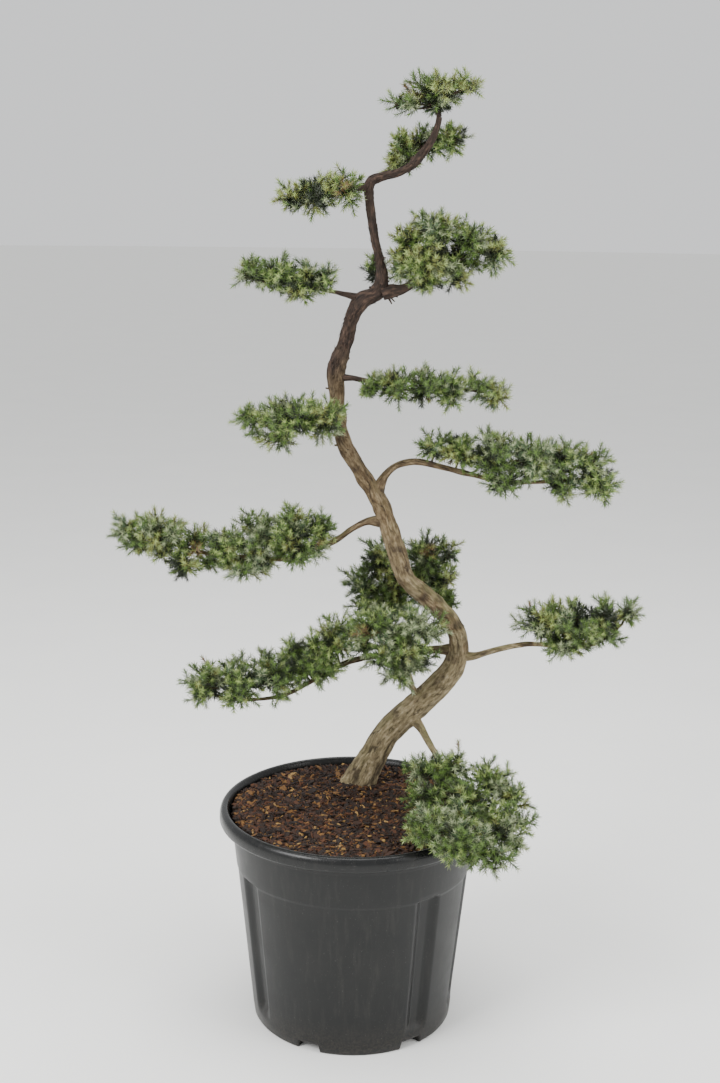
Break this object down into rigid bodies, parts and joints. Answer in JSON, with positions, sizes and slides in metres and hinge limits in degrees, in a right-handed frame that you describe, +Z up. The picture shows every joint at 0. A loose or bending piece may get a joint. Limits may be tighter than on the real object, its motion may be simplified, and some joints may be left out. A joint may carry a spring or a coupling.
{
  "type": "shore juniper bonsai in a nursery pot",
  "caption": "Cloud-pruned shore juniper with a bare winding trunk, flat pads of needles on side boughs, and a round black nursery pot filled to the rim with bark mulch.",
  "frame": {"origin": "centre of the pot's flat underside, on the surface that it stands on", "axes": "+Z up along the pot's axis, +X to the right of the plant's front as pictured, +Y away from the front"},
  "size_m": [0.8181, 0.464, 1.457],
  "materials": {
    "pot": "dusty black moulded plastic",
    "mulch": "dark bark chips",
    "bark": "rough flaking bark",
    "needles": "waxy needles"
  },
  "bodies": {
    "root": {"pot": "pot", "potting_mix": "mulch", "trunk": "bark", "upper_right_bough": "bark", "left_upper_bough": "bark", "right_thin_bough": "bark", "right_arch_bough": "bark", "left_long_bough": "bark", "back_bough": "bark", "front_low_bough": "bark", "low_left_bough": "bark", "low_right_bough": "bark", "front_right_bough": "bark", "apex_foliage": "needles", "below_apex_foliage": "needles", "upper_left_foliage": "needles", "upper_right_foliage": "needles", "left_upper_foliage": "needles", "right_thin_foliage": "needles", "left_middle_foliage": "needles", "right_arch_foliage": "needles", "left_long_foliage": "needles", "back_foliage": "needles", "front_low_foliage": "needles", "low_left_foliage": "needles", "low_right_foliage": "needles", "front_right_foliage": "needles"}
  },
  "joints": []
}
